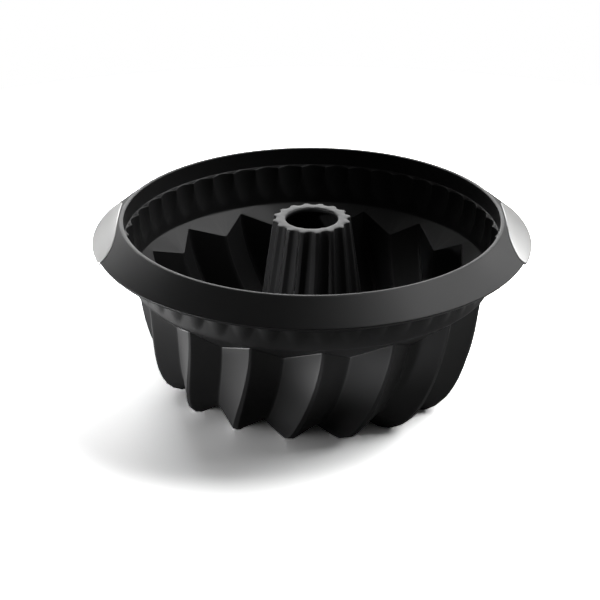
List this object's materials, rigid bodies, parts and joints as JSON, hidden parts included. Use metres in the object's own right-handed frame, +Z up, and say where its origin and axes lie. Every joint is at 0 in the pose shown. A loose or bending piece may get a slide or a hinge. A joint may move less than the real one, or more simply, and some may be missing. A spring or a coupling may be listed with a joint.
{
  "type": "silicone fluted tube pan",
  "caption": "Round silicone tube pan with twisted flutes, an open centre tube, a scalloped collar and a sloping rim that a steel band stiffens, with steel grips let into it.",
  "frame": {"origin": "centre of the base, on the surface that the pan stands on", "axes": "+Z up along the tube, +X through the right-hand grip, the picture taken from -Y"},
  "size_m": [0.2572, 0.2542, 0.1063],
  "materials": {
    "silicone": "black silicone, fine matt",
    "band_steel": "plain strip",
    "grip_steel": "satin"
  },
  "bodies": {
    "root": {"silicone_mould": "silicone", "rim_band": "band_steel", "left_grip": "grip_steel", "right_grip": "grip_steel"}
  },
  "joints": []
}
